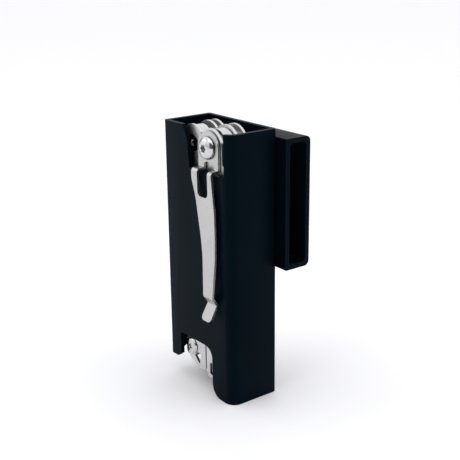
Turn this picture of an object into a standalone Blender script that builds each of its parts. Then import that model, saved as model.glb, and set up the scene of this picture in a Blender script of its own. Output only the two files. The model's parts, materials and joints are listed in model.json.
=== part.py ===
"""A stainless folding multi tool standing in its black plastic belt holster.

The holster is a rectangular tube with its front (clip) side facing -Y, a belt loop screwed on
behind, and an open top from which the tool is drawn along +Z.

Every length below is in millimetres, and is scaled to metres as a shape is made. A shape's place
from front to back is its depth behind the holster's front face.
"""

import math

import bmesh
import bpy
from mathutils import Matrix, Vector

MM = 0.001

# Holster
HEIGHT = 102.0
WIDTH = 39.8
DEPTH = 20.9
WALL = 1.6
SIDE = WIDTH / 2
CORNER = 4.0  # outer radius of the front right corner
EDGE = 1.0  # outer radius of the other corners

# Belt loop
LOOP_WIDTH = 49.2
LOOP_DEPTH = 11.3
LOOP_BASE = 50.1
LOOP_TOP = 98.8
LOOP_WALL = 1.8
LOOP_SCREW_X = 13.2
NUT_FLATS = 5.5  # across the flats
NUT_HEIGHT = 1.8

# Folded tool
GAP = 0.2  # running clearance between neighbouring pieces
TOUCH = 0.3  # clearance where one piece rests on another
SHEET = 1.0
TOOL_SIDE = 13.8  # half the folded tool's width
SPLIT = 0.3  # from the middle plane to a handle's inner edge
TANG_KNUCKLE = 6.4  # radii of the round tops: plier tangs, front sheets, rear sheets and covers
FRONT_KNUCKLE = 6.8
REAR_KNUCKLE = 7.3
TOP_PIVOT = (5.3, 95.3)
LOW_PIVOT = (9.1, 13.8)
SHOULDER = 88.7  # where a handle narrows to its knuckle
POST = 2.4  # radius of a pivot post
POST_HOLE = POST + GAP
SHANK = 1.5

# Depths of the tool's layers, front to back
FRONT_SHEET = (2.7, 2.7 + SHEET)
INNER = (FRONT_SHEET[1] + GAP, 9.3)
REAR_SHEET = (INNER[1] + GAP, INNER[1] + GAP + SHEET)
BLADE = (REAR_SHEET[1] + GAP, 12.3)
COVERS = {
    "left": (BLADE[1] + GAP, BLADE[1] + GAP + SHEET),
    "right": (BLADE[1] + 0.9, BLADE[1] + 0.9 + SHEET),
}
HEAD = 0.7  # height of a low pivot head
FLUSH_HEAD = 3.2  # radius of the countersunk screw in the left handle's top pivot

# Pocket clip
CLIP_SHEET = 0.9
CLIP_HALF = 5.95  # half the width of its base, and the radius of the base's round top
CLIP_FRONT = FRONT_SHEET[0] - GAP - CLIP_SHEET
CLIP_BEND = 89.4  # height of the bend that flexes
TIP_OUT = 4.3  # how far the tip stands out from the holster's front

LOOP_FRONT = DEPTH + TOUCH
LOOP_BACK = LOOP_FRONT + LOOP_DEPTH
LOOP_MIDDLE = (LOOP_BASE + LOOP_TOP) / 2
FRONT_Y = (TIP_OUT - LOOP_BACK) / 2

PLASTIC = ((0.010, 0.014, 0.020), 0.0, 0.42)
STEEL = ((0.62, 0.61, 0.59), 1.0, 0.32)
POLISHED = ((0.70, 0.69, 0.68), 1.0, 0.20)
BLADE_STEEL = ((0.55, 0.55, 0.54), 1.0, 0.26)
DARK_STEEL = ((0.08, 0.08, 0.085), 1.0, 0.45)


# ---------------------------------------------------------------- outlines

def circle(centre, radius, steps=24):
    turns = [math.tau * i / steps for i in range(steps)]
    return [(centre[0] + radius * math.cos(a), centre[1] + radius * math.sin(a)) for a in turns]


def arc(centre, radius, start, end, steps=8):
    """Points from the angle start to the angle end, in degrees."""
    angles = [math.radians(start + (end - start) * i / steps) for i in range(steps + 1)]
    return [(centre[0] + radius * math.cos(a), centre[1] + radius * math.sin(a)) for a in angles]


def fillet(before, corner, after, radius, steps):
    """Points of the arc that rounds one corner of a path."""
    here = Vector(corner)
    back = (Vector(before) - here).normalized()
    on = (Vector(after) - here).normalized()
    half = back.angle(on) / 2
    centre = here + (back + on).normalized() * radius / math.sin(half)
    first = here + back * radius / math.tan(half) - centre
    last = here + on * radius / math.tan(half) - centre
    start = math.atan2(first.y, first.x)
    sweep = math.remainder(math.atan2(last.y, last.x) - start, math.tau)
    angles = [start + sweep * i / steps for i in range(steps + 1)]
    return [(centre.x + radius * math.cos(a), centre.y + radius * math.sin(a)) for a in angles]


def rounded(corners, closed=True, steps=5):
    """The outline through corners (x, y) or (x, y, radius), each rounded by its radius."""
    points = []
    for i, corner in enumerate(corners):
        at_end = not closed and i in (0, len(corners) - 1)
        if len(corner) == 2 or at_end:
            points.append(tuple(corner[:2]))
            continue
        after = corners[(i + 1) % len(corners)]
        points += fillet(corners[i - 1][:2], corner[:2], after[:2], corner[2], steps)
    return points


def mirrored(points, side):
    return [(side * x, z) for x, z in points]


# ---------------------------------------------------------------- solids

def new_collection(name, hidden=False):
    collection = bpy.data.collections.new(name)
    bpy.context.scene.collection.children.link(collection)
    collection.hide_render = hidden
    return collection


def as_piece(mesh, name, matrix):
    piece = bpy.data.objects.new(name, mesh)
    piece.matrix_world = matrix
    parts.objects.link(piece)
    return piece


def from_curve(curve_object):
    """The mesh object that a curve makes, with the curve's caps welded to its sides."""
    bpy.context.view_layer.update()
    evaluated = curve_object.evaluated_get(bpy.context.evaluated_depsgraph_get())
    mesh = bpy.data.meshes.new_from_object(evaluated)
    bm = bmesh.new()
    bm.from_mesh(mesh)
    bmesh.ops.remove_doubles(bm, verts=bm.verts, dist=0.001 * MM)
    bmesh.ops.recalc_face_normals(bm, faces=bm.faces)
    bm.to_mesh(mesh)
    bm.free()
    piece = as_piece(mesh, "from_curve", curve_object.matrix_world.copy())
    curve = curve_object.data
    bpy.data.objects.remove(curve_object)
    bpy.data.curves.remove(curve)
    return piece


FACING = {
    "Y": (math.radians(90), 0, 0),  # outline in x and z, extruded from front to back
    "Z": (0, 0, 0),  # outline in x and depth, extruded upwards
    "X": (math.radians(90), 0, math.radians(90)),  # outline in depth and z, extruded sideways
}


def prism(name, loops, low, high, facing="Y"):
    """A solid of the first loop with the others as holes, from low to high along its axis."""
    curve = bpy.data.curves.new(name, "CURVE")
    curve.dimensions = "2D"
    curve.fill_mode = "BOTH"
    curve.extrude = (high - low) / 2 * MM
    shift = {"Y": (0, 0), "Z": (0, FRONT_Y), "X": (FRONT_Y, 0)}[facing]
    for loop in loops:
        spline = curve.splines.new("POLY")
        spline.points.add(len(loop) - 1)
        for point, (x, y) in zip(spline.points, loop):
            point.co = ((x + shift[0]) * MM, (y + shift[1]) * MM, 0, 1)
        spline.use_cyclic_u = True
    middle = (low + high) / 2
    curve_object = bpy.data.objects.new(name, curve)
    curve_object.rotation_euler = FACING[facing]
    curve_object.location = {
        "Y": (0, (middle + FRONT_Y) * MM, 0),
        "Z": (0, 0, middle * MM),
        "X": (middle * MM, 0, 0),
    }[facing]
    parts.objects.link(curve_object)
    piece = from_curve(curve_object)
    piece.name = name
    return piece


def turned(name, profile, centre, steps=24):
    """A piece turned about a front-to-back axis through centre (x, z).

    The profile is (radius, depth) from the front to the back, starting and ending on the axis.
    """
    mesh = bpy.data.meshes.new(name)
    points = [(radius * MM, 0, -(depth + FRONT_Y) * MM) for radius, depth in profile]
    mesh.from_pydata(points, [(i, i + 1) for i in range(len(points) - 1)], [])
    piece = as_piece(mesh, name, Matrix.Identity(4))
    piece.rotation_euler = FACING["Y"]
    piece.location = (centre[0] * MM, 0, centre[1] * MM)
    screw = piece.modifiers.new("turn", "SCREW")
    screw.steps = steps
    screw.render_steps = steps
    screw.use_merge_vertices = True
    screw.merge_threshold = 0.001 * MM
    return piece


def combine(piece, other, operation):
    """Adds a Boolean and puts the other object away with the cutters."""
    boolean = piece.modifiers.new(operation.lower(), "BOOLEAN")
    boolean.operation = operation
    boolean.object = other
    parts.objects.unlink(other)
    cutters.objects.link(other)
    other.hide_render = True
    other.display_type = "WIRE"


def cut(piece, *others):
    for other in others:
        combine(piece, other, "DIFFERENCE")


def join(piece, *others):
    for other in others:
        combine(piece, other, "UNION")


def bore(centre, radius, low, high):
    """A cutter for a round hole from front to back."""
    return prism("bore", [circle(centre, radius)], low, high)


def box(name, x_range, depth_range, z_range):
    corners = [(x_range[0], z_range[0]), (x_range[1], z_range[0])]
    corners += [(x_range[1], z_range[1]), (x_range[0], z_range[1])]
    return prism(name, [corners], *depth_range)


def finish(piece, look, parent=None):
    """Gives a piece its own material, smooth shading on its round faces, and its parent."""
    colour, metallic, roughness = look
    material = bpy.data.materials.new(piece.name)
    material.use_nodes = True
    shader = material.node_tree.nodes["Principled BSDF"]
    shader.inputs["Base Color"].default_value = (*colour, 1)
    shader.inputs["Metallic"].default_value = metallic
    shader.inputs["Roughness"].default_value = roughness
    piece.data.materials.clear()
    piece.data.materials.append(material)
    piece.data.shade_smooth()
    piece.data.set_sharp_from_angle(angle=math.radians(35))
    if parent:
        piece.parent = parent
        piece.matrix_parent_inverse = Matrix.Translation(parent.location).inverted()


def axis_empty(name, x, depth, z):
    """An empty on a joint's axis, for the pieces that move about it."""
    empty = bpy.data.objects.new(name, None)
    empty.location = (x * MM, (depth + FRONT_Y) * MM, z * MM)
    empty.empty_display_size = 5 * MM
    parts.objects.link(empty)
    return empty


# ---------------------------------------------------------------- holster

def holster_shell():
    inner = SIDE - WALL
    outside = rounded([
        (-SIDE, 0, EDGE), (SIDE, 0, CORNER), (SIDE, DEPTH, EDGE), (-SIDE, DEPTH, EDGE),
    ])
    inside = rounded([
        (-inner, WALL, 0.5), (inner, WALL, CORNER - WALL),
        (inner, DEPTH - WALL, 0.5), (-inner, DEPTH - WALL, 0.5),
    ])
    shell = prism("holster_shell", [outside, inside], 0, HEIGHT, "Z")

    # the top notch clears the clip's base and screw, and the clip hooks over its floor
    floor, left, right = 86.6, -4.3, 16.3
    top_notch = rounded([
        (left, floor, 1.0), (right, floor, 1.0), (right, HEIGHT + 1),
        (left - 5.0, HEIGHT + 1), (left - 3.6, HEIGHT - 0.5, 2.0), (left - 0.9, 97.0, 4.0),
    ])
    # the bottom notch bares the tool's end, to push it out
    left, right, top, flare = -13.1, 7.7, 19.2, 5.1
    low_notch = rounded([(left, -1), (left, top, 1.2), (right, top, 4.3), (right, flare)][::-1])
    low_notch = arc((right + flare, flare), flare, 270, 180) + low_notch + [(right + flare, -1)]
    # the left side is shorter than the right: its front foot is bevelled towards the notch,
    # and behind the front wall its lower edge rises to the back
    foot, bevel_width, bevel_height = 8.0, 2.2, 1.8
    rise = (DEPTH + 1 - WALL) * math.tan(math.radians(22))
    short_side = [
        (-1, -1), (DEPTH + 1, -1), (DEPTH + 1, foot + rise), (WALL, foot), (-1, foot),
    ]
    foot_bevel = rounded([
        (left - bevel_width - 3, foot - 1), (left + 1, foot - 1), (left + 1, foot + bevel_height),
        (left, foot + bevel_height), (left - bevel_width, foot, 1.0), (left - bevel_width - 3, foot),
    ])

    cut(shell,
        prism("top_notch", [top_notch], -1, WALL + TOUCH),
        prism("low_notch", [low_notch], -1, WALL + TOUCH),
        prism("short_side", [short_side], -SIDE - 1, left, "X"),
        prism("foot_bevel", [foot_bevel], -1, WALL + TOUCH))
    for x in (-LOOP_SCREW_X, LOOP_SCREW_X):
        cut(shell, bore((x, LOOP_MIDDLE), SHANK + GAP, DEPTH - WALL - 1, DEPTH + 1))
    finish(shell, PLASTIC)


def belt_loop():
    outside = rounded([
        (LOOP_FRONT, LOOP_BASE, 0.6), (LOOP_BACK, LOOP_BASE, 2.0),
        (LOOP_BACK, LOOP_TOP, 2.0), (LOOP_FRONT, LOOP_TOP, 0.6),
    ])
    inside = rounded([
        (LOOP_FRONT + LOOP_WALL, LOOP_BASE + LOOP_WALL, 1.2),
        (LOOP_BACK - LOOP_WALL, LOOP_BASE + LOOP_WALL, 1.2),
        (LOOP_BACK - LOOP_WALL, LOOP_TOP - LOOP_WALL, 1.2),
        (LOOP_FRONT + LOOP_WALL, LOOP_TOP - LOOP_WALL, 1.2),
    ])
    loop = prism("belt_loop", [outside, inside], -LOOP_WIDTH / 2, LOOP_WIDTH / 2, "X")
    seat = LOOP_FRONT + LOOP_WALL
    for x in (-LOOP_SCREW_X, LOOP_SCREW_X):
        screw_hole = turned("screw_hole", [
            (0, LOOP_FRONT - 1), (SHANK + GAP, LOOP_FRONT - 1), (SHANK + GAP, seat - 1.1),
            (3.2, seat + 0.2), (0, seat + 0.2),
        ], (x, LOOP_MIDDLE))
        driver_hole = bore((x, LOOP_MIDDLE), 1.5, LOOP_BACK - LOOP_WALL - 1, LOOP_BACK + 1)
        cut(loop, screw_hole, driver_hole)
    finish(loop, PLASTIC)


def loop_fixing(side, x):
    """A countersunk screw through the loop's front wall, and its nut inside the shell."""
    seat = LOOP_FRONT + LOOP_WALL
    nut_back = DEPTH - WALL - TOUCH
    nut_front = nut_back - NUT_HEIGHT
    screw = turned(f"loop_screw_{side}", [
        (0, nut_front - 0.4), (SHANK, nut_front - 0.4), (SHANK, seat - 1.1),
        (SHANK + 1.1, seat - 0.1), (1.0, seat - 0.1), (1.0, seat - 0.7), (0, seat - 0.7),
    ], (x, LOOP_MIDDLE))
    finish(screw, STEEL)
    hexagon = circle((x, LOOP_MIDDLE), NUT_FLATS / math.sqrt(3), 6)
    hole = circle((x, LOOP_MIDDLE), SHANK + GAP)
    finish(prism(f"loop_nut_{side}", [hexagon, hole], nut_front, nut_back), STEEL)


# ---------------------------------------------------------------- handles

def knuckle(radius, inner=SPLIT):
    """The round top of a handle or plier tang on the right, flat where it meets the other one."""
    flat = math.degrees(math.acos((inner - TOP_PIVOT[0]) / radius))
    return arc(TOP_PIVOT, radius, 0, flat, 14)


def handle_outline(side, radius):
    """The front view of a handle with this knuckle; the right one ends in a lug for a lanyard."""
    outer_end = [(TOOL_SIDE, 10.9, 2.5), (TOOL_SIDE, SHOULDER, 1.0)]
    outer_end += [(TOP_PIVOT[0] + radius, SHOULDER + 1.2, 1.0), (TOP_PIVOT[0] + radius, TOP_PIVOT[1])]
    if side > 0:
        inner_end = [(SPLIT, 6.6, 0.6), (1.5, 4.6, 0.8), (5.6, 4.6, 1.4), (7.6, 8.0, 1.5)]
    else:
        inner_end = [(SPLIT, 6.6, 1.0), (4.7, 6.2, 4.0), (8.8, 7.5, 6.0)]
    return mirrored(rounded(inner_end + outer_end) + knuckle(radius), side)


def lanyard_slot():
    """A cutter for the slot through every plate of the right handle's lug."""
    slot = rounded([(2.4, 6.0, 0.9), (4.4, 6.0, 0.9), (4.4, 11.0, 0.9), (2.4, 11.0, 0.9)])
    return prism("lanyard_slot", [slot], 0, DEPTH)


def handle_channel(name, side):
    """Front sheet, outer spine and rear sheet, folded from one strip."""
    spine = TOOL_SIDE - SHEET
    front, back = FRONT_SHEET[0], REAR_SHEET[1]
    section = rounded([
        (-1, front), (TOOL_SIDE, front, 1.3), (TOOL_SIDE, back, 1.3), (-1, back),
        (-1, REAR_SHEET[0]), (spine, REAR_SHEET[0], 0.3), (spine, FRONT_SHEET[1], 0.3),
        (-1, FRONT_SHEET[1]),
    ], steps=3)
    channel = prism(name, [mirrored(section, side)], 0, HEIGHT + 5, "Z")
    middle = sum(INNER) / 2
    outline = prism("front_outline", [handle_outline(side, FRONT_KNUCKLE)], front - 1, middle)
    join(outline, prism("rear_outline", [handle_outline(side, REAR_KNUCKLE)], middle - 0.5, back + 1))
    combine(channel, outline, "INTERSECT")

    # the spine stops short of both pivots
    outer = (spine - 1, TOOL_SIDE + 1)
    ends = [(0, 22.0), (84.0, HEIGHT + 5)]
    for z_range in ends:
        x_range = sorted(side * x for x in outer)
        cut(channel, box("spine_end", x_range, (FRONT_SHEET[1], REAR_SHEET[0]), z_range))
    for x, z in (TOP_PIVOT, LOW_PIVOT):
        cut(channel, bore((side * x, z), POST_HOLE, front - 1, back + 1))
    if side < 0:
        cut(channel, turned("countersink", [
            (0, front - 1), (FLUSH_HEAD + GAP, front - 1), (FLUSH_HEAD + GAP, front),
            (POST_HOLE, front + HEAD), (0, front + HEAD),
        ], (side * TOP_PIVOT[0], TOP_PIVOT[1])))

    # a slit frees the rear sheet's lock tongue, which springs behind an open blade
    slit = rounded([(2.0, 20.0), (2.6, 20.0), (2.6, 58.0, 0.2), (2.0, 58.0, 0.2)])
    cut(channel, prism("lock_slit", [mirrored(slit, side)], REAR_SHEET[0] - 0.5, back + 1))

    if side > 0:
        cut(channel, lanyard_slot())
    else:
        window = rounded([(-7.6, 10.3, 0.4), (-4.4, 7.4, 0.4), (-3.4, 12.2, 0.4), (-5.6, 12.3, 0.4)])
        cut(channel, prism("corner_window", [window], front - 1, back + 1))
    finish(channel, STEEL, tool)


def handle_cover(name, side, layer):
    """The rear plate that closes the outer blade's compartment, scooped for the thumb."""
    posts = [circle((side * x, z), POST_HOLE) for x, z in (TOP_PIVOT, LOW_PIVOT)]
    cover = prism(name, [handle_outline(side, REAR_KNUCKLE)] + posts, *layer)
    scoop, reach = 7.0, 4.0
    cut(cover, bore((side * (TOOL_SIDE + scoop - reach), 60), scoop, layer[0] - 1, layer[1] + 1))
    if side > 0:
        cut(cover, lanyard_slot())
    finish(cover, STEEL, tool)


# ---------------------------------------------------------------- pivots

def star_socket(centre, depth, reach, size):
    """A cutter for the six-lobed driver socket in a screw's head."""
    steps = 36
    lobes = []
    for i in range(steps):
        turn = math.tau * i / steps
        radius = size * (0.86 + 0.14 * math.cos(6 * turn))
        lobes.append((centre[0] + radius * math.cos(turn), centre[1] + radius * math.sin(turn)))
    return prism("star_socket", [lobes], depth - 1, depth + reach)


def low_head(radius, face, height):
    """Profile of a low domed head, from its front face on the axis to its outer edge."""
    return [(0, face), (radius * 0.55, face), (radius * 0.85, face + height * 0.3), (radius, face + height)]


def pivot(name, side, place, rear_radius, screw_head, socket, front_end=FRONT_SHEET[0] + GAP):
    """A post closed at the back by its own head, and the screw that runs into it.

    The socket is (reach, size).
    """
    centre = (place[0] if side == "right" else -place[0], place[1])
    rear_face = COVERS[side][1] + GAP
    bore_end, screw_end = 8.5, 7.5
    post = turned(f"{name}_{side}_post", [
        (SHANK + GAP, front_end), (POST, front_end), (POST, rear_face),
        (rear_radius, rear_face), (rear_radius * 0.9, rear_face + HEAD),
        (0, rear_face + HEAD), (0, bore_end), (SHANK + GAP, bore_end), (SHANK + GAP, front_end),
    ], centre)
    finish(post, POLISHED, tool)
    seat = screw_head[-1][1]
    shank = [(SHANK, seat), (SHANK, screw_end), (0, screw_end)]
    screw = turned(f"{name}_{side}_screw", screw_head + shank, centre)
    cut(screw, star_socket(centre, screw_head[0][1], *socket))
    finish(screw, POLISHED, tool)


def dome_head(radius, height, face_radius, seat):
    """Profile of a tall domed head with a small flat face."""
    dome = [(0, seat - height), (face_radius, seat - height)]
    steps = 6
    for i in range(1, steps + 1):
        turn = math.radians(90 * i / steps)
        across = face_radius + (radius - face_radius) * math.sin(turn)
        dome.append((across, seat - height * math.cos(turn) * 0.95))
    return dome


def pivots():
    face = FRONT_SHEET[0] - GAP - HEAD
    for side in ("left", "right"):
        pivot("implement_pivot", side, LOW_PIVOT, 3.4, low_head(3.4, face, HEAD), (0.5, 1.35))
    # the left handle's top pivot is flush, and the right one also holds the clip
    face = FRONT_SHEET[0]
    flush = [(0, face), (FLUSH_HEAD, face), (POST - GAP, face + HEAD - 0.1)]
    pivot("handle_pivot", "left", TOP_PIVOT, 3.6, flush, (0.4, 1.35), face + HEAD + GAP)
    pivot("handle_pivot", "right", TOP_PIVOT, 3.6, dome_head(4.2, 2.0, 1.8, CLIP_FRONT - GAP), (1.3, 1.6))


def spacers():
    """Rings that fill the pivots between the plier tangs, the sheets and the covers."""
    rings = {
        "tang_spacer_left": (-1, TANG_LEFT[1] + GAP, INNER[1]),
        "tang_spacer_right": (1, INNER[0], TANG_RIGHT[0] - GAP),
        "cover_spacer_left": (-1, BLADE[0], COVERS["left"][0] - GAP),
        "cover_spacer_right": (1, BLADE[0], COVERS["right"][0] - GAP),
    }
    for name, (side, low, high) in rings.items():
        centre = (side * TOP_PIVOT[0], TOP_PIVOT[1])
        ring = prism(name, [circle(centre, 4.2), circle(centre, POST_HOLE)], low, high)
        finish(ring, POLISHED, tool)


# ---------------------------------------------------------------- pliers

JOINT = (0, 75.5)
JOINT_RADIUS = 7.2
LAP = (INNER[0] + INNER[1]) / 2
TANG_LEFT = (INNER[0], 7.4)
TANG_RIGHT = (5.4, INNER[1])


def plier_half(name, side, tang, lap):
    """One half: its tang on the given side, its disc across the joint, its jaw on the other side."""
    arm = mirrored([
        (SPLIT, 95.3), (SPLIT, 80.0), (6.5, 76.0), (9.0, 83.0),
        (TOP_PIVOT[0] + TANG_KNUCKLE, 90.0), (TOP_PIVOT[0] + TANG_KNUCKLE, 95.3),
    ] + knuckle(TANG_KNUCKLE)[1:], side)
    jaw = mirrored(rounded([
        (SPLIT, 72.0), (SPLIT, 64.5), (1.9, 62.0, 1.5), (1.9, 57.5, 1.5), (SPLIT, 55.0),
        (SPLIT, 36.2), (1.9, 36.2, 0.8), (4.8, 58.0, 8.0), (6.6, 71.0),
    ]), -side)
    half = prism(name, [arm], *INNER)
    low, high = lap
    clear = (LAP - GAP / 2, INNER[1] + 1) if low == INNER[0] else (INNER[0] - 1, LAP + GAP / 2)
    cut_tang = (tang[1], INNER[1] + 1) if tang[0] == INNER[0] else (INNER[0] - 1, tang[0])
    join(half,
         prism("jaw", [jaw], *INNER),
         prism("joint_disc", [circle(JOINT, JOINT_RADIUS, 32)], *INNER))
    cut(half, bore(JOINT, JOINT_RADIUS + GAP, *clear))
    cut(half, box("tang_step", sorted((0, side * 13)), cut_tang, (86.5, 103)))
    cut(half, bore((side * TOP_PIVOT[0], TOP_PIVOT[1]), POST_HOLE, low - 3, high + 3))
    cut(half, bore(JOINT, 2.6, low - 3, high + 3))
    finish(half, POLISHED, tool)


def pliers():
    plier_half("plier_half_front", -1, TANG_LEFT, (INNER[0], LAP - GAP / 2))
    plier_half("plier_half_rear", 1, TANG_RIGHT, (LAP + GAP / 2, INNER[1]))
    rivet = turned("jaw_rivet", [
        (0, INNER[0]), (2.1, INNER[0]), (2.4, INNER[0] + 0.3), (2.4, INNER[1] - 0.3),
        (2.1, INNER[1]), (0, INNER[1]),
    ], JOINT)
    finish(rivet, STEEL, tool)


# ---------------------------------------------------------------- implements

def implement(name, side, body, low, high, look=BLADE_STEEL, tang=4.2):
    """A flat implement on a lower pivot: a round tang joined to its body's outline."""
    centre = (side * LOW_PIVOT[0], LOW_PIVOT[1])
    piece = prism(name, [circle(centre, tang)], low, high)
    join(piece, prism("body", [mirrored(body, side)], low, high))
    cut(piece, bore(centre, POST_HOLE, low - 1, high + 1))
    finish(piece, look, tool)
    return piece


def saw_edge(start, end, x, teeth, deep):
    """Points of a straight toothed edge, going up."""
    pitch = (end - start) / teeth
    points = []
    for i in range(teeth):
        points += [(x, start + i * pitch), (x + deep, start + (i + 0.7) * pitch)]
    return points


def implements():
    first, step = INNER[0], 1.9
    layers = [(first + i * step, first + i * step + 1.6) for i in range(3)]

    knife = rounded([
        (13.4, 12.0), (13.4, 80.0, 20.0), (8.5, 88.0, 0.5), (3.4, 76.0, 20.0), (1.6, 60.0, 20.0),
        (1.6, 24.0, 2.0), (5.0, 21.0, 2.0), (5.4, 12.0),
    ])
    blade = implement("knife_blade", -1, knife, *BLADE)
    cut(blade, bore((-9.0, 30.0), 3.2, BLADE[0] - 1, BLADE[1] + 1))
    saw = [(5.4, 12.0), (5.0, 22.0)] + saw_edge(23.0, 83.0, 4.2, 20, 1.4)
    saw += [(5.2, 85.0), (12.0, 85.0), (13.4, 80.0), (13.4, 12.0)]
    implement("saw_blade", 1, saw, *BLADE)

    flat = rounded([
        (11.7, 12.0), (11.7, 52.0, 2.0), (11.2, 61.0, 0.4), (6.8, 61.0, 0.4), (6.6, 52.0, 2.0),
        (6.6, 12.0),
    ])
    implement("flat_driver", -1, flat, *layers[0])
    cross = rounded([
        (11.6, 12.0), (11.6, 52.0, 1.0), (10.0, 58.0, 0.5), (8.4, 58.0, 0.5), (6.8, 52.0, 1.0),
        (6.8, 12.0),
    ])
    implement("cross_driver", -1, cross, layers[1][0], INNER[1])
    file = rounded([(11.7, 12.0), (11.7, 62.0, 1.5), (6.2, 62.0, 1.5), (6.2, 12.0)])
    implement("wood_file", 1, file, *layers[0])
    opener = rounded([
        (11.7, 12.0), (11.7, 50.0, 4.0), (6.0, 50.0, 1.5), (6.0, 45.5, 0.6), (8.6, 44.0, 1.5),
        (8.2, 38.0, 1.5), (5.6, 35.0, 0.6), (5.8, 12.0),
    ])
    implement("can_opener", 1, opener, *layers[1])
    small = rounded([
        (11.2, 12.0), (11.2, 40.0, 2.0), (10.4, 54.0, 0.3), (8.0, 54.0, 0.3), (7.4, 40.0, 2.0),
        (7.4, 12.0),
    ])
    implement("small_driver", 1, small, *layers[2])


def implement_spring(name, side):
    """A straight leaf along the inside of a spine, which presses on the implements' tangs."""
    outer = TOOL_SIDE - SHEET - GAP
    thick = 0.5
    leaf = rounded([
        (outer, 20.5), (outer, 66.0), (outer - thick, 66.0), (outer - thick, 20.5),
    ])
    piece = prism(name, [mirrored(leaf, side)], INNER[0] + GAP, INNER[1] - GAP)
    finish(piece, DARK_STEEL, tool)


# ---------------------------------------------------------------- pocket clip

TONGUE_FOOT = 40.0


def clip_share(z):
    """0 at the tongue's foot, 1 where it leaves the base."""
    return min(max((z - TONGUE_FOOT) / (CLIP_BEND - 2.4 - TONGUE_FOOT), 0), 1)


def clip_centre(z):
    return 9.9 - (9.9 - TOP_PIVOT[0]) * clip_share(z) ** 2


def clip_width(z):
    return 5.2 + 6.4 * clip_share(z) ** 1.2


def clip_base():
    left, right = TOP_PIVOT[0] - CLIP_HALF, TOP_PIVOT[0] + CLIP_HALF
    split = 2.5  # half the gap between the legs
    outline = arc(TOP_PIVOT, CLIP_HALF, 0, 180, 20)
    outline += [(left, CLIP_BEND), (TOP_PIVOT[0] - split, CLIP_BEND)]
    outline += [(TOP_PIVOT[0], CLIP_BEND + 1.8), (TOP_PIVOT[0] + split, CLIP_BEND), (right, CLIP_BEND)]
    hole = circle(TOP_PIVOT, SHANK + GAP)
    base = prism("clip_base", [outline, hole], CLIP_FRONT, CLIP_FRONT + CLIP_SHEET)
    finish(base, STEEL, tool)


def clip_tongue():
    """The sprung part: out over the notch floor, down the front, in to the wall, and out at the tip."""
    middle = CLIP_FRONT + CLIP_SHEET / 2
    path = rounded([
        (middle, CLIP_BEND - 0.2), (middle, 87.5, 1.0), (-1.3, 87.4, 1.1), (-1.45, 70.0, 30.0),
        (-1.6, 56.0, 30.0), (-2.9, 40.4, 0.7), (-TOUCH - CLIP_SHEET / 2, 38.4, 0.8),
        (CLIP_SHEET / 2 - TIP_OUT, 31.7),
    ], closed=False)
    end_round = 1.4
    mesh = bpy.data.meshes.new("clip_tongue")
    points = []
    for depth, z in path:
        half = clip_width(z) / 2 - max(end_round - (z - path[-1][1]), 0) * 0.6
        for x in (clip_centre(z) - half, clip_centre(z) + half):
            points.append((x * MM, (depth + FRONT_Y) * MM, z * MM))
    faces = [(2 * i, 2 * i + 1, 2 * i + 3, 2 * i + 2) for i in range(len(path) - 1)]
    mesh.from_pydata(points, [], faces)
    tongue = as_piece(mesh, "clip_tongue", Matrix.Identity(4))
    sheet = tongue.modifiers.new("sheet", "SOLIDIFY")
    sheet.thickness = CLIP_SHEET * MM
    sheet.offset = 0
    slot_foot = 77.6
    slot = rounded([
        (clip_centre(90) - 2.5, 92), (clip_centre(slot_foot) - 2.5, slot_foot, 1.8),
        (clip_centre(slot_foot) + 2.5, slot_foot, 1.8), (clip_centre(90) + 2.5, 92),
    ])
    cut(tongue, prism("clip_slot", [slot], -6, 6))
    finish(tongue, STEEL, clip_hinge)


# ---------------------------------------------------------------- assembly

for old in list(bpy.data.objects):
    bpy.data.objects.remove(old)

parts = new_collection("multi_tool_in_holster")
cutters = new_collection("cutters", hidden=True)

tool = axis_empty("tool_draw_axis", 0, FRONT_SHEET[0], 0)
clip_hinge = axis_empty("clip_hinge_axis", TOP_PIVOT[0], CLIP_FRONT + CLIP_SHEET / 2, CLIP_BEND)
clip_hinge.parent = tool
clip_hinge.matrix_parent_inverse = Matrix.Translation(tool.location).inverted()

holster_shell()
belt_loop()
for side_name, screw_x in (("left", -LOOP_SCREW_X), ("right", LOOP_SCREW_X)):
    loop_fixing(side_name, screw_x)
for side_name, sign in (("left", -1), ("right", 1)):
    handle_channel(f"handle_channel_{side_name}", sign)
    handle_cover(f"handle_cover_{side_name}", sign, COVERS[side_name])
    implement_spring(f"implement_spring_{side_name}", sign)
pivots()
spacers()
pliers()
implements()
clip_base()
clip_tongue()
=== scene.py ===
"""The looks of a folding multi tool in its black plastic belt holster.

The holster's clip side faces -Y, and every length here is in metres.
"""

import json
import math

import bmesh
import bpy
from mathutils import Matrix, Vector


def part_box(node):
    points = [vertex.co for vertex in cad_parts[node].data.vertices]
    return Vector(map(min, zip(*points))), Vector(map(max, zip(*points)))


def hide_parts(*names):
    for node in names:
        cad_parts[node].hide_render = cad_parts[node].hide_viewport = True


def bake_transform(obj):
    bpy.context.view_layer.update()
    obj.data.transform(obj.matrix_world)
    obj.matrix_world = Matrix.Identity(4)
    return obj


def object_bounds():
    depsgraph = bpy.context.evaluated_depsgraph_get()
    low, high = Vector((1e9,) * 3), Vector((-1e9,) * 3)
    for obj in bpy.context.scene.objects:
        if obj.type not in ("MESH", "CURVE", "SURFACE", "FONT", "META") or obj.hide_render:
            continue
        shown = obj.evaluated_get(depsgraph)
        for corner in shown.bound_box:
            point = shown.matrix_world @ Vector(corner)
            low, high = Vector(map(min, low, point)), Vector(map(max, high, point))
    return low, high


MM = 0.001

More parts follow.
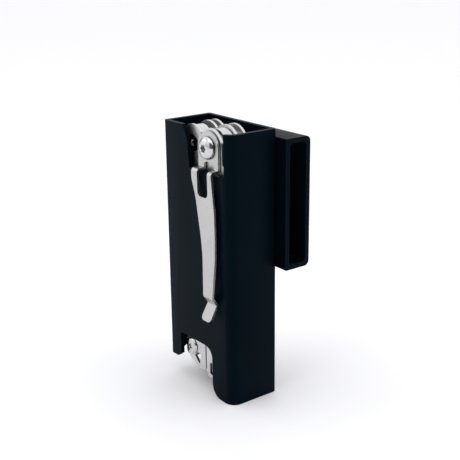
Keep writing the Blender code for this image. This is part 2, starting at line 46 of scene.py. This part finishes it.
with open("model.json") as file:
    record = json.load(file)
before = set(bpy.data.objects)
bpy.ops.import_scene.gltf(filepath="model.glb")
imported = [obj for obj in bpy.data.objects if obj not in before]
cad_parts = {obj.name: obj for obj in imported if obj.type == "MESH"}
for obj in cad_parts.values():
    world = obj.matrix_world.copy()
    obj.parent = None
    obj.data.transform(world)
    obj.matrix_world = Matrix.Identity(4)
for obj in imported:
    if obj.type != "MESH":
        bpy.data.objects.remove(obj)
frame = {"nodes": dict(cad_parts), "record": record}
cad_low, cad_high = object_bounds()
nodes = frame["nodes"]

SHELL_LOW, SHELL_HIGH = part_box("holster_shell")
HEIGHT = SHELL_HIGH.z - SHELL_LOW.z


# ---------------------------------------------------------------- camera, light and floor

# The camera looks at the holster's base from its right and above. Distances are in holster heights.
CAMERA_YAW = math.radians(52.99)
CAMERA_PITCH = math.radians(17.91)
CAMERA_ROLL = math.radians(-0.72)
CAMERA_BACK = 3.503
CAMERA_RIGHT = 0.0276
CAMERA_UP = 0.5774
FOCAL_SHARE = 1.9752  # focal length over the picture's width
SENSOR = 36.0
LEVEL = math.cos(CAMERA_PITCH)
CAMERA_SIDE = Vector((
    math.sin(CAMERA_YAW) * LEVEL, -math.cos(CAMERA_YAW) * LEVEL, math.sin(CAMERA_PITCH)
))  # from the object towards the camera


def make_camera():
    """The camera at its fitted place, turned to its pitch, yaw and roll."""
    back = CAMERA_SIDE
    level_right = Vector((math.cos(CAMERA_YAW), math.sin(CAMERA_YAW), 0))
    level_up = back.cross(level_right)
    right = level_right * math.cos(CAMERA_ROLL) + level_up * math.sin(CAMERA_ROLL)
    up = back.cross(right)
    base = (SHELL_LOW + SHELL_HIGH) / 2
    base.z = SHELL_LOW.z
    place = base + (back * CAMERA_BACK + right * CAMERA_RIGHT + up * CAMERA_UP) * HEIGHT
    data = bpy.data.cameras.new("camera")
    data.sensor_width = SENSOR
    data.lens = SENSOR * FOCAL_SHARE
    data.clip_start = 0.01
    camera = bpy.data.objects.new("camera", data)
    camera.matrix_world = Matrix.Translation(place) @ Matrix((right, up, back)).transposed().to_4x4()
    bpy.context.scene.collection.objects.link(camera)
    bpy.context.scene.camera = camera


LIT_POINT = Vector((0, 0, 0.05))
TENT_STRENGTH = 1.17
FLOOR_HALF = 6.0
FLOOR_GREY = 0.96


def softbox(name, place, size, power):
    """A rectangular soft light facing the holster's middle."""
    data = bpy.data.lights.new(name, "AREA")
    data.shape = "RECTANGLE"
    data.size, data.size_y = size
    data.energy = power
    light = bpy.data.objects.new(name, data)
    light.location = place
    light.rotation_euler = (Vector(place) - LIT_POINT).to_track_quat("Z", "Y").to_euler()
    light.visible_camera = False
    bpy.context.scene.collection.objects.link(light)


COOLNESS = 1.02  # blue over grey


def ramp(tree, value, *stops):
    """A colour ramp through (position, grey) stops, a little cool."""
    node = tree.nodes.new("ShaderNodeValToRGB")
    for element, (position, grey) in zip(node.color_ramp.elements, stops):
        element.position = position
        element.color = (grey, grey, grey * COOLNESS, 1)
    tree.links.new(value, node.inputs["Fac"])
    return node.outputs["Color"]


def tent():
    """A white tent, greyer near the floor, with a dark opening on the camera's side."""
    world = bpy.data.worlds.new("studio")
    world.use_nodes = True
    bpy.context.scene.world = world
    tree = world.node_tree
    background = tree.nodes["Background"]
    direction = tree.nodes.new("ShaderNodeTexCoord").outputs["Generated"]
    split = tree.nodes.new("ShaderNodeSeparateXYZ")
    tree.links.new(direction, split.inputs[0])
    towards = tree.nodes.new("ShaderNodeVectorMath")
    towards.operation = "DOT_PRODUCT"
    towards.inputs[1].default_value = CAMERA_SIDE
    tree.links.new(direction, towards.inputs[0])
    walls = tree.nodes.new("ShaderNodeMix")
    walls.data_type = "RGBA"
    walls.blend_type = "MULTIPLY"
    walls.inputs["Factor"].default_value = 1.0
    tree.links.new(ramp(tree, split.outputs["Z"], (0.0, 0.55), (0.45, 1.0)), walls.inputs["A"])
    tree.links.new(ramp(tree, towards.outputs["Value"], (0.70, 1.0), (0.88, 0.12)), walls.inputs["B"])
    tree.links.new(walls.outputs["Result"], background.inputs["Color"])
    background.inputs["Strength"].default_value = TENT_STRENGTH


def paper_floor():
    """A wide pale floor under the object, which isn't part of it."""
    floor_mesh = bpy.data.meshes.new("floor")
    bm = bmesh.new()
    bmesh.ops.create_grid(bm, x_segments=1, y_segments=1, size=FLOOR_HALF)
    bm.to_mesh(floor_mesh)
    bm.free()
    floor = bpy.data.objects.new("floor", floor_mesh)
    floor.location.z = cad_low.z
    bpy.context.scene.collection.objects.link(floor)
    paper = bpy.data.materials.new("pale_paper")
    paper.use_nodes = True
    shader = paper.node_tree.nodes["Principled BSDF"]
    shader.inputs["Base Color"].default_value = (FLOOR_GREY, FLOOR_GREY, FLOOR_GREY, 1)
    shader.inputs["Roughness"].default_value = 0.9
    shader.inputs["Specular IOR Level"].default_value = 0.1
    floor_mesh.materials.append(paper)


def studio():
    """Even white light from the tent, three weak soft lights, and the floor."""
    bpy.context.scene.view_settings.view_transform = "Standard"
    tent()
    softbox("left_box", (-0.55, -0.45, 0.35), (0.5, 0.6), 0.5)
    softbox("right_box", (0.6, 0.45, 0.40), (0.5, 0.6), 0.4)
    softbox("top_box", (0.1, -0.1, 0.8), (0.7, 0.7), 0.8)
    paper_floor()


# ---------------------------------------------------------------- materials

class Nodes:
    """Short ways to add and link a material's nodes."""

    def __init__(self, name):
        self.material = bpy.data.materials.new(name)
        self.material.use_nodes = True
        self.tree = self.material.node_tree
        self.shader = self.tree.nodes["Principled BSDF"]
        self.place = self.add("ShaderNodeTexCoord").outputs["Object"]

    def add(self, kind, **settings):
        node = self.tree.nodes.new(kind)
        for key, value in settings.items():
            setattr(node, key, value)
        return node

    def link(self, source, target):
        self.tree.links.new(source, target)

    def stretched(self, scale):
        """The object's own coordinates, scaled along each axis."""
        mapping = self.add("ShaderNodeMapping")
        mapping.inputs["Scale"].default_value = scale
        self.link(self.place, mapping.inputs["Vector"])
        return mapping.outputs["Vector"]

    def noise(self, scale, detail=3.0, roughness=0.5):
        """Noise with this many waves a metre along x, y and z."""
        texture = self.add("ShaderNodeTexNoise")
        texture.inputs["Scale"].default_value = 1.0
        texture.inputs["Detail"].default_value = detail
        texture.inputs["Roughness"].default_value = roughness
        self.link(self.stretched(scale), texture.inputs["Vector"])
        return texture.outputs["Fac"]

    def spread(self, value, low, high, from_low=0.3, from_high=0.7):
        """The value taken from one range to another; noise mostly lies between 0.3 and 0.7."""
        node = self.add("ShaderNodeMapRange")
        node.inputs["From Min"].default_value = from_low
        node.inputs["From Max"].default_value = from_high
        node.inputs["To Min"].default_value = low
        node.inputs["To Max"].default_value = high
        self.link(value, node.inputs["Value"])
        return node.outputs["Result"]

    def mix(self, share, first, second):
        """A colour between two, each a colour or another node's output."""
        node = self.add("ShaderNodeMix", data_type="RGBA")
        self.link(share, node.inputs["Factor"])
        for socket, value in ((node.inputs["A"], first), (node.inputs["B"], second)):
            if isinstance(value, tuple):
                socket.default_value = (*value, 1)
            else:
                self.link(value, socket)
        return node.outputs["Result"]

    def bump(self, height, depth, under=None):
        """A bump this deep, in metres, on top of another bump."""
        node = self.add("ShaderNodeBump")
        node.inputs["Strength"].default_value = 1.0
        node.inputs["Distance"].default_value = depth
        self.link(height, node.inputs["Height"])
        if under:
            self.link(under, node.inputs["Normal"])
        return node.outputs["Normal"]

    def edges(self, width):
        """1 near the piece's edges, 0 away from them."""
        bevel = self.add("ShaderNodeBevel", samples=4)
        bevel.inputs["Radius"].default_value = width
        flat = self.add("ShaderNodeNewGeometry").outputs["Normal"]
        dot = self.add("ShaderNodeVectorMath", operation="DOT_PRODUCT")
        self.link(bevel.outputs["Normal"], dot.inputs[0])
        self.link(flat, dot.inputs[1])
        return self.spread(dot.outputs["Value"], 1.0, 0.0, 0.90, 0.999)

    def hidden(self, reach):
        """1 deep in a crevice this wide, 0 in the open; it masks the painted shade in crevices."""
        shade = self.add("ShaderNodeAmbientOcclusion", samples=8)
        shade.inputs["Distance"].default_value = reach
        return self.spread(shade.outputs["AO"], 1.0, 0.0, 0.15, 0.75)

    def set(self, **values):
        """Sets the shader's sockets, named with _ for each space."""
        for key, value in values.items():
            socket = self.shader.inputs[key.replace("_", " ")]
            if isinstance(value, bpy.types.NodeSocket):
                self.link(value, socket)
            else:
                socket.default_value = value


# reach of the painted shade in the steel's crevices
CREVICE = 1.4 * MM
# width of the painted highlight along the steel's edges
STEEL_EDGE_HIGHLIGHT = 0.15 * MM
# width of the painted highlight along the plastic's edges
PLASTIC_EDGE_HIGHLIGHT = 0.35 * MM


def black_plastic():
    """Moulded plastic: a fine grain, faint rubbing up and down, and paler edges that are a painted
    highlight.
    """
    n = Nodes("black_plastic")
    cloud = n.noise((60, 60, 40), 4)
    grain = n.noise((2600, 2600, 2600), 2)
    rub = n.noise((500, 500, 90), 4, 0.6)
    colour = n.mix(n.spread(cloud, 0, 1), (0.0005, 0.0032, 0.0062), (0.0011, 0.0046, 0.0082))
    # painted highlight: the plastic's edges are mixed towards a paler blue grey
    rim_highlit = n.mix(n.spread(n.edges(PLASTIC_EDGE_HIGHLIGHT), 0, 0.6), colour, (0.009, 0.015, 0.021))
    n.set(
        Base_Color=rim_highlit,
        Roughness=n.spread(rub, 0.36, 0.42),
        IOR=1.11,
        Specular_Tint=(0.50, 0.80, 1.0, 1.0),
        Normal=n.bump(grain, 0.008 * MM, n.bump(rub, 0.003 * MM)),
    )
    return n.material


def scaled(colour, factor):
    """A colour made darker or brighter, none of it above 0.95."""
    return tuple(min(c * factor, 0.95) for c in colour)


def steel(name, dark, light, rough, brush, grain_depth):
    """Stainless steel, brushed along the axis with the lowest brush figure."""
    n = Nodes(name)
    lines = n.noise(brush, 4, 0.65)
    cloud = n.noise((90, 90, 70), 4)
    marks = n.noise((700, 700, 700), 5, 0.7)
    base = n.mix(n.spread(cloud, 0, 1), dark, light)
    tint = n.mix(n.spread(lines, 0, 0.35), base, scaled(light, 0.86))
    # painted highlight: the steel's edges are mixed towards a brighter grey
    edge = n.mix(n.spread(n.edges(STEEL_EDGE_HIGHLIGHT), 0, 0.6), tint, scaled(light, 1.15))
    # painted shade: crevices found by ambient occlusion are mixed towards near black
    crevice_shaded = n.mix(n.spread(n.hidden(CREVICE), 0, 0.85, 0.0, 1.0), edge, scaled(dark, 0.10))
    n.set(
        Base_Color=crevice_shaded,
        Metallic=1.0,
        Roughness=n.spread(marks, rough - 0.05, rough + 0.07),
        Normal=n.bump(lines, grain_depth, n.bump(marks, grain_depth * 0.5)),
    )
    return n.material


def make_materials():
    """The material of each slot, and clip_steel, a darker copy of the satin steel with painted shade,
    for the clip.
    """
    return {
        "black_plastic": black_plastic(),
        "satin_steel": steel(
            "satin_steel", (0.60, 0.60, 0.59), (0.67, 0.67, 0.66), 0.34, (5200, 5200, 90), 0.004 * MM),
        # clip_steel is the satin steel painted darker, as shade on the clip
        "clip_steel": steel(
            "clip_steel", (0.47, 0.47, 0.46), (0.53, 0.53, 0.52), 0.30, (5200, 5200, 90), 0.005 * MM),
        "polished_steel": steel(
            "polished_steel", (0.56, 0.56, 0.55), (0.64, 0.64, 0.63), 0.12, (1500, 1500, 1500),
            0.001 * MM),
        "blade_steel": steel(
            "blade_steel", (0.50, 0.50, 0.49), (0.58, 0.58, 0.57), 0.26, (160, 4200, 4200), 0.004 * MM),
        "dark_steel": steel(
            "dark_steel", (0.07, 0.07, 0.075), (0.12, 0.12, 0.125), 0.40, (2200, 2200, 2200),
            0.004 * MM),
    }


# ---------------------------------------------------------------- outlines and sheet work

def fillet(before, corner, after, radius, steps):
    """Points of the arc that rounds one corner of a path."""
    here = Vector(corner)
    back = (Vector(before) - here).normalized()
    on = (Vector(after) - here).normalized()
    half = back.angle(on) / 2
    centre = here + (back + on).normalized() * radius / math.sin(half)
    first = here + back * radius / math.tan(half) - centre
    last = here + on * radius / math.tan(half) - centre
    start = math.atan2(first.y, first.x)
    sweep = math.remainder(math.atan2(last.y, last.x) - start, math.tau)
    angles = [start + sweep * i / steps for i in range(steps + 1)]
    return [(centre.x + radius * math.cos(a), centre.y + radius * math.sin(a)) for a in angles]


def rounded(corners, closed=True, steps=8):
    """The outline through corners (x, y) or (x, y, radius), each rounded by its radius."""
    points = []
    for i, corner in enumerate(corners):
        at_end = not closed and i in (0, len(corners) - 1)
        if len(corner) == 2 or at_end:
            points.append(tuple(corner[:2]))
            continue
        after = corners[(i + 1) % len(corners)]
        points += fillet(corners[i - 1][:2], corner[:2], after[:2], corner[2], steps)
    return points


def circle(centre, radius, steps=48):
    """Points around a circle."""
    turns = [math.tau * i / steps for i in range(steps)]
    return [(centre[0] + radius * math.cos(a), centre[1] + radius * math.sin(a)) for a in turns]


def new_object(name, bm):
    """An object of the mesh that was built, which is then freed."""
    mesh = bpy.data.meshes.new(name)
    bm.to_mesh(mesh)
    bm.free()
    piece = bpy.data.objects.new(name, mesh)
    bpy.context.scene.collection.objects.link(piece)
    return piece


def plate(name, outline, front, back):
    """A plate of an (x, z) outline from the y of its front to the y of its back."""
    bm = bmesh.new()
    face = bm.faces.new([bm.verts.new((x, front, z)) for x, z in outline])
    moved = bmesh.ops.extrude_face_region(bm, geom=[face])["geom"]
    corners = [v for v in moved if isinstance(v, bmesh.types.BMVert)]
    bmesh.ops.translate(bm, verts=corners, vec=(0, back - front, 0))
    bmesh.ops.recalc_face_normals(bm, faces=bm.faces)
    return new_object(name, bm)


def settle(piece):
    """Applies a piece's modifiers."""
    bpy.context.view_layer.update()
    evaluated = piece.evaluated_get(bpy.context.evaluated_depsgraph_get())
    mesh = bpy.data.meshes.new_from_object(evaluated)
    piece.modifiers.clear()
    piece.data = mesh


def carve(piece, other, operation="DIFFERENCE"):
    """Cuts the other solid out of the piece, or keeps what they share, and removes the other."""
    boolean = piece.modifiers.new("carve", "BOOLEAN")
    boolean.operation = operation
    boolean.object = other
    settle(piece)
    bpy.data.objects.remove(other)


# ---------------------------------------------------------------- pocket clip

def clip_outline(top, bend, foot, tip, centre, half):
    """The clip's front view: round head, full legs below the bend, and a tongue that narrows."""
    steps = 32
    turns = [math.pi * i / steps for i in range(steps + 1)]
    head = [(centre + half * math.cos(a), top - half + half * math.sin(a)) for a in turns]
    leg_half = 5.8 * MM
    foot_left = centre + 2.4 * MM
    foot_right = centre + 7.6 * MM
    end_round = 1.5 * MM
    return head + rounded([
        (centre - leg_half, bend - 1.4 * MM),
        (centre - leg_half, bend - 5.4 * MM, 8 * MM),
        (centre - 3.4 * MM, bend - 11.8 * MM, 25 * MM),
        (centre - 0.3 * MM, bend - 27 * MM, 60 * MM),
        (foot_left, foot),
        (foot_left - 1.3 * MM, tip, end_round),
        (foot_right - 0.9 * MM, tip, end_round),
        (foot_right, foot),
        (centre + 8.0 * MM, bend - 26 * MM, 60 * MM),
        (centre + 7.6 * MM, bend - 15.5 * MM, 30 * MM),
        (centre + leg_half, bend - 2.4 * MM),
    ], closed=False)


def leg_slot(centre, bend):
    """The gap between the legs: pointed at the base, rounded at its foot, leaning right."""
    left = centre - 2.5 * MM
    right = centre + 3.6 * MM
    foot = bend - 11.3 * MM
    lean = 0.4 * MM
    corner = 1.8 * MM
    return rounded([
        (left, bend), (left + lean, foot, corner), (right + lean, foot, corner), (right, bend),
        (centre - 0.8 * MM, bend + 1.0 * MM),
    ])


def folded_strip(path, low_x, high_x, thick):
    """A sheet bent along a path of (y, z) points."""
    bm = bmesh.new()
    rows = [[bm.verts.new((x, y, z)) for x in (low_x, high_x)] for y, z in path]
    for upper, lower in zip(rows, rows[1:]):
        bm.faces.new((upper[0], upper[1], lower[1], lower[0]))
    strip = new_object("pocket_clip", bm)
    sheet = strip.modifiers.new("sheet", "SOLIDIFY")
    sheet.thickness = thick
    sheet.offset = 0
    settle(strip)
    return strip


def pocket_clip(material):
    """One folded strip of spring steel: head, two legs over the holster's edge, tongue and tip."""
    base_low, base_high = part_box("clip_base")
    tongue_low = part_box("clip_tongue")[0]
    thick = base_high.y - base_low.y
    centre = (base_low.x + base_high.x) / 2
    half = (base_high.x - base_low.x) / 2
    middle = (base_low.y + base_high.y) / 2
    bend = base_low.z
    tip_length = 8.6 * MM
    foot = tongue_low.z + tip_length
    front = SHELL_LOW.y
    path = rounded([
        (middle, base_high.z + 1 * MM),
        (middle, bend - 1.9 * MM, 1.0 * MM),
        (front - 1.3 * MM, bend - 2.0 * MM, 1.1 * MM),
        (front - 1.45 * MM, bend - 19.4 * MM, 30 * MM),
        (front - 1.6 * MM, bend - 33.4 * MM, 30 * MM),
        (front - 2.9 * MM, foot + 1.5 * MM, 0.7 * MM),
        (front - 0.3 * MM - thick / 2, foot - 1.6 * MM, 0.8 * MM),
        (tongue_low.y + thick / 2, tongue_low.z - 0.2 * MM),
    ], closed=False)
    wide = 14 * MM  # half the width of the strip that the clip is cut from
    clip = folded_strip(path, centre - wide, centre + wide, thick)
    margin = 5 * MM
    near = tongue_low.y - margin
    far = base_high.y + margin
    outline = clip_outline(base_high.z, bend, foot, tongue_low.z + 0.7 * MM, centre, half)
    carve(clip, plate("outline", outline, near, far), "INTERSECT")
    carve(clip, plate("leg_slot", leg_slot(centre, bend), near, far))
    screw_hole = circle((centre, base_high.z - half), 1.7 * MM)
    carve(clip, plate("screw_hole", screw_hole, near, far))
    clip.data.materials.clear()
    clip.data.materials.append(material)
    clip.data.shade_smooth()
    soften(clip, 0.16 * MM)
    settle(clip)
    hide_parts("clip_base", "clip_tongue")
    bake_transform(clip)


# ---------------------------------------------------------------- CAD nodes that show as they are

EDGE_WIDTHS = {
    "black_plastic": 0.25 * MM,
    "satin_steel": 0.12 * MM,
    "polished_steel": 0.10 * MM,
    "blade_steel": 0.06 * MM,
    "dark_steel": 0.08 * MM,
}


def smooth_by_angle(angle):
    """A modifier group that shades smoothly across every edge that bends less than the angle."""
    group = bpy.data.node_groups.new("smooth_by_angle", "GeometryNodeTree")
    group.interface.new_socket("Geometry", in_out="INPUT", socket_type="NodeSocketGeometry")
    group.interface.new_socket("Geometry", in_out="OUTPUT", socket_type="NodeSocketGeometry")
    start = group.nodes.new("NodeGroupInput")
    end = group.nodes.new("NodeGroupOutput")
    bend = group.nodes.new("GeometryNodeInputMeshEdgeAngle")
    gentle = group.nodes.new("FunctionNodeCompare")
    gentle.operation = "LESS_THAN"
    gentle.inputs["B"].default_value = angle
    edges = group.nodes.new("GeometryNodeSetShadeSmooth")
    edges.domain = "EDGE"
    faces = group.nodes.new("GeometryNodeSetShadeSmooth")
    link = group.links.new
    link(start.outputs["Geometry"], edges.inputs["Geometry"])
    link(bend.outputs["Unsigned Angle"], gentle.inputs["A"])
    link(gentle.outputs["Result"], edges.inputs["Shade Smooth"])
    link(edges.outputs["Geometry"], faces.inputs["Geometry"])
    link(faces.outputs["Geometry"], end.inputs["Geometry"])
    return group


SMOOTHING = smooth_by_angle(math.radians(32))


def soften(node, width):
    """Shades a node's round faces smoothly, and rounds its sharp edges."""
    weld = node.modifiers.new("weld", "WELD")
    weld.merge_threshold = 0.002 * MM
    flat = node.modifiers.new("flat", "DECIMATE")
    flat.decimate_type = "DISSOLVE"
    flat.angle_limit = math.radians(0.5)
    smooth = node.modifiers.new("smooth", "NODES")
    smooth.node_group = SMOOTHING
    bevel = node.modifiers.new("bevel", "BEVEL")
    bevel.width = width
    bevel.segments = 2
    bevel.limit_method = "ANGLE"
    bevel.angle_limit = math.radians(40)
    bevel.harden_normals = True


def slots_of_nodes():
    """The record's material slot for each CAD node."""
    return {row["node"]: row["material_slot"] for row in frame["record"]["subparts"]}


def dress(materials):
    """Gives each CAD node its slot's material and softened edges."""
    for name, slot_name in slots_of_nodes().items():
        node = nodes[name]
        node.data.materials.clear()
        node.data.materials.append(materials[slot_name])
        soften(node, EDGE_WIDTHS[slot_name])


make_camera()
studio()
materials = make_materials()
dress(materials)
pocket_clip(materials["clip_steel"])
